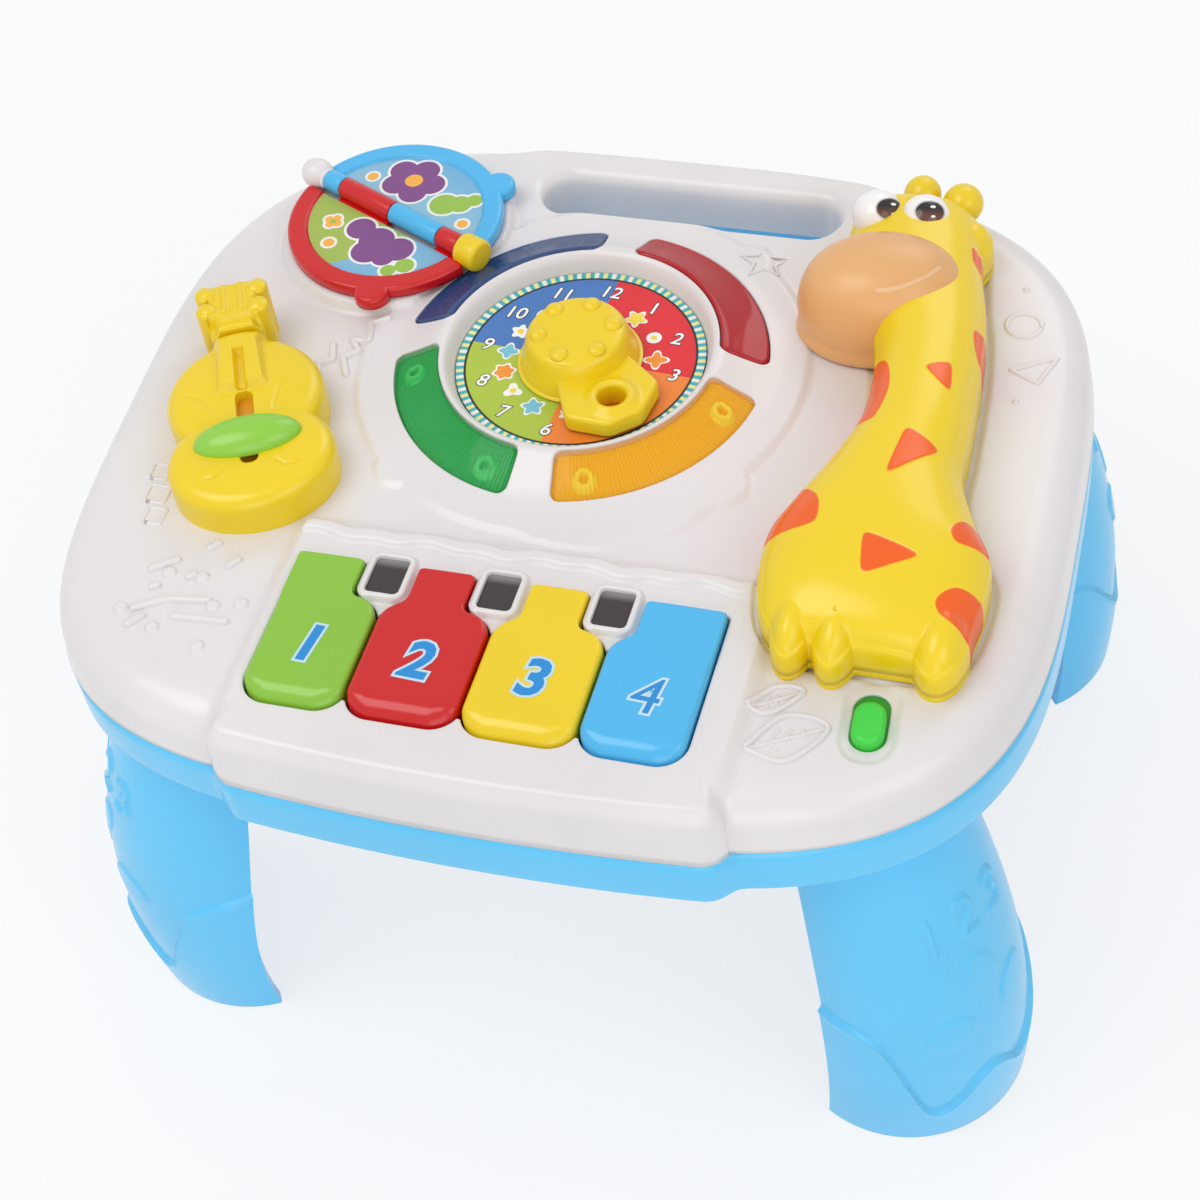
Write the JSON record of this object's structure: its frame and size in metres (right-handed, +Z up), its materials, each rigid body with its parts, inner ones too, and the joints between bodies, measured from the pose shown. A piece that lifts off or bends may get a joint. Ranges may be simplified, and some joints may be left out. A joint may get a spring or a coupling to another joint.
{
  "type": "musical activity table",
  "caption": "Free-standing musical activity table on curved legs: piano keys, clock dial in a lamp turret, flip book, violin slider and lift-off animal handset.",
  "frame": {"origin": "on the floor under the middle of the bounding box", "axes": "+X to the right as seen from the keyboard side, +Y from the keyboard towards the carrying handle, +Z up"},
  "size_m": [0.2596, 0.2313, 0.1743],
  "materials": {
    "white_plastic": "moulded, softly glossy",
    "blue_plastic": "moulded, softly glossy",
    "yellow_plastic": "moulded, glossy",
    "green_plastic": "moulded, glossy",
    "red_plastic": "moulded, glossy",
    "sky_plastic": "moulded, glossy",
    "lens_red": "transparent",
    "lens_blue": "transparent",
    "lens_green": "transparent",
    "lens_amber": "transparent",
    "printed_plate": "printed",
    "black_plastic": "moulded",
    "beige_plastic": "moulded, glossy",
    "eye_plastic": "moulded, glossy, printed",
    "switch_plastic": "moulded",
    "steel": "plain",
    "circuit_board": "plain",
    "contact_rubber": "plain",
    "contact_brass": "plain",
    "battery_can": "printed sleeve"
  },
  "bodies": {
    "table": {"top_shell": "white_plastic", "white_end_cap": "white_plastic", "bottom_shell": "blue_plastic", "leg_front_left": "blue_plastic", "leg_front_right": "blue_plastic", "leg_back_left": "blue_plastic", "leg_back_right": "blue_plastic", "battery_door": "blue_plastic", "violin_body": "yellow_plastic", "yellow_end_cap": "yellow_plastic", "lens_red": "lens_red", "lamp_red": "lens_red", "lens_blue": "lens_blue", "lamp_blue": "lens_blue", "lens_green": "lens_green", "lamp_green": "lens_green", "lens_amber": "lens_amber", "lamp_amber": "lens_amber", "dial_plate": "printed_plate", "window_insert_1": "black_plastic", "window_insert_2": "black_plastic", "window_insert_3": "black_plastic", "speaker": "black_plastic", "key_pivot_rod": "steel", "book_hinge_pin": "steel", "slide_switch": "steel", "battery_door_screw": "steel", "housing_screw_1": "steel", "housing_screw_2": "steel", "housing_screw_3": "steel", "housing_screw_4": "steel", "housing_screw_5": "steel", "housing_screw_6": "steel", "main_board": "circuit_board", "key_board": "circuit_board", "key_contact_strip": "contact_rubber", "battery_contact_left": "contact_brass", "battery_contact_right": "contact_brass", "battery_1": "battery_can", "battery_2": "battery_can", "battery_3": "battery_can"},
    "key_1": {"key_1": "green_plastic"},
    "key_2": {"key_2": "red_plastic"},
    "key_3": {"key_3": "yellow_plastic"},
    "key_4": {"key_4": "sky_plastic"},
    "clock_knob": {"clock_knob": "yellow_plastic", "contact_disc": "black_plastic"},
    "red_page": {"red_page": "red_plastic"},
    "blue_page": {"blue_page": "sky_plastic"},
    "violin_slider": {"violin_slider": "green_plastic", "slider_retainer": "black_plastic"},
    "power_switch": {"power_switch_knob": "switch_plastic"},
    "handset": {"handset_front": "yellow_plastic", "handset_back": "yellow_plastic", "handset_muzzle": "beige_plastic", "handset_eye_left": "eye_plastic", "handset_eye_right": "eye_plastic"}
  },
  "joints": [
    {"name": "key_1_press", "type": "hinge", "parent": "table", "child": "key_1", "pos_m": [-0.04575, -0.0454, 0.1424], "axis": [1, 0, 0], "range_deg": [0, 4], "stiffness_Nm_per_rad": 0.3, "springref_deg": -5.73},
    {"name": "key_2_press", "type": "hinge", "parent": "table", "child": "key_2", "pos_m": [-0.0177, -0.0454, 0.1424], "axis": [1, 0, 0], "range_deg": [0, 4], "stiffness_Nm_per_rad": 0.3, "springref_deg": -5.73},
    {"name": "key_3_press", "type": "hinge", "parent": "table", "child": "key_3", "pos_m": [0.0117, -0.0454, 0.1424], "axis": [1, 0, 0], "range_deg": [0, 4], "stiffness_Nm_per_rad": 0.3, "springref_deg": -5.73},
    {"name": "key_4_press", "type": "hinge", "parent": "table", "child": "key_4", "pos_m": [0.03975, -0.0454, 0.1424], "axis": [1, 0, 0], "range_deg": [0, 4], "stiffness_Nm_per_rad": 0.3, "springref_deg": -5.73},
    {"name": "clock_knob_turn", "type": "hinge", "parent": "table", "child": "clock_knob", "pos_m": [-0.0082, 0.0277, 0.15], "axis": [0, 0, 1], "continuous": true},
    {"name": "blue_page_flip", "type": "hinge", "parent": "table", "child": "blue_page", "pos_m": [-0.0751, 0.0706, 0.1549], "axis": [0.91, -0.4147, 0], "range_deg": [0, 180]},
    {"name": "red_page_flip", "type": "hinge", "parent": "table", "child": "red_page", "pos_m": [-0.0751, 0.0706, 0.1549], "axis": [-0.91, 0.4147, 0], "range_deg": [0, 180]},
    {"name": "violin_slide", "type": "slide", "parent": "table", "child": "violin_slider", "axis": [-0.4226, 0.9063, 0], "range_m": [-0.005, 0.0115]},
    {"name": "power_switch_slide", "type": "slide", "parent": "table", "child": "power_switch", "axis": [-0.0802, 0.9968, 0], "range_m": [0, 0.0038]},
    {"name": "handset_lift", "type": "slide", "parent": "table", "child": "handset", "axis": [0, 0, 1], "range_m": [0, 0.06]}
  ]
}
